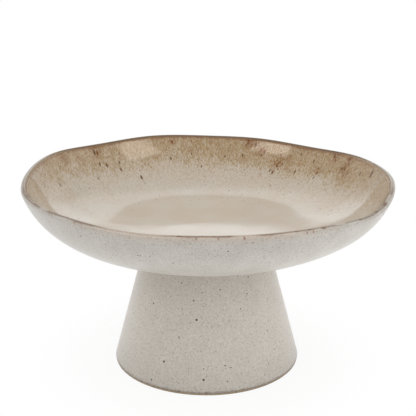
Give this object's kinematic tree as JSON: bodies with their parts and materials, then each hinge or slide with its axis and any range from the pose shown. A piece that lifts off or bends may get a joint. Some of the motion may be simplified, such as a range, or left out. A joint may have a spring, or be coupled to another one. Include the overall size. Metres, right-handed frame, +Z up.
{
  "type": "chalice bowl",
  "caption": "Shallow stoneware serving bowl with a hand-shaped wavy rim on a hollow conical foot, glossy speckled glaze inside and satin oatmeal glaze outside.",
  "frame": {"origin": "centre of the foot ring, on the table", "axes": "+Z up along the bowl's axis, front -Y, +X to the right seen from the front"},
  "size_m": [0.2912, 0.2912, 0.1568],
  "materials": {
    "stoneware": "bare fired clay, matt",
    "joint_slip": "bare fired slip, matt",
    "inner_glaze": "gloss, brown speckled towards the rim",
    "outer_glaze": "satin-matt, finely speckled"
  },
  "bodies": {
    "root": {"bowl_body": "stoneware", "pedestal_foot": "stoneware", "joint_slip": "joint_slip", "inner_glaze": "inner_glaze", "outer_glaze": "outer_glaze"}
  },
  "joints": []
}
